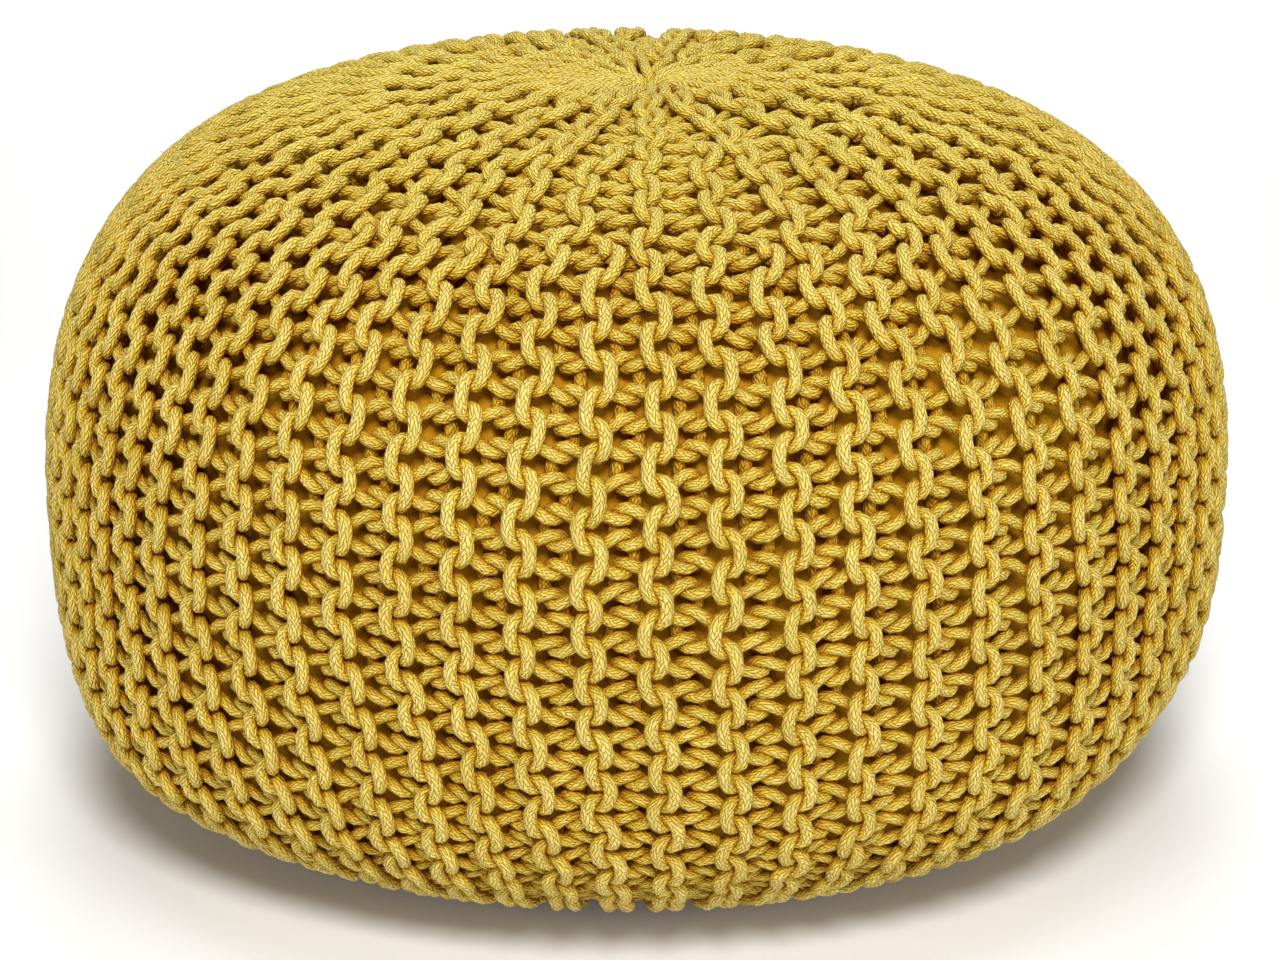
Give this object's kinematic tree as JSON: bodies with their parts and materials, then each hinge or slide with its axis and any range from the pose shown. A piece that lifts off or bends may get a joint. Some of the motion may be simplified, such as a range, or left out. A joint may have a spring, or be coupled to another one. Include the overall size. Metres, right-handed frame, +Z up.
{
  "type": "knitted pouf",
  "caption": "Round floor pouf with a chunky garter-stitch cover of twisted cotton cord, drawn together at the crown, over a filled cloth bag.",
  "frame": {"origin": "on the ground, under the middle of the foot", "axes": "+Z up through the crown, -Y towards the front of the view"},
  "size_m": [0.5535, 0.548, 0.3361],
  "materials": {
    "cotton_cord": "matt twisted cotton cord, mustard yellow",
    "bag_cloth": "plain closely woven cloth, amber yellow"
  },
  "bodies": {
    "root": {"knit_cover": "cotton_cord", "inner_bag": "bag_cloth"}
  },
  "joints": []
}
